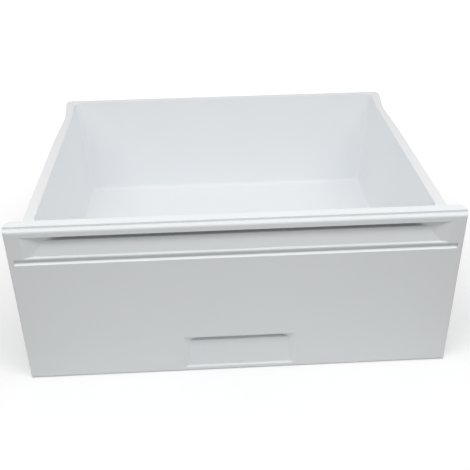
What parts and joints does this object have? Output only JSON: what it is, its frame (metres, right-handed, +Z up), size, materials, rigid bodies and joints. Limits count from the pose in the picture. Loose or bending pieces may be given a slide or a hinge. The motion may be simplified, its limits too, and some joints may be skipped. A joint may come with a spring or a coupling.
{
  "type": "fridge drawer",
  "caption": "White moulded fridge drawer: a drafted, stepped bin with an outward rim and flared rear lugs, and a hooked-on front panel with a long and a short finger pull.",
  "frame": {"origin": "on the floor under the middle of the drawer's overall box", "axes": "+X along the front panel, +Y from the front panel to the back, +Z up out of the bin"},
  "size_m": [0.464, 0.347, 0.193],
  "materials": {
    "bin_plastic": "semi-gloss moulded white",
    "panel_plastic": "semi-gloss moulded white"
  },
  "bodies": {
    "root": {"drawer_bin": "bin_plastic", "front_panel": "panel_plastic"}
  },
  "joints": []
}
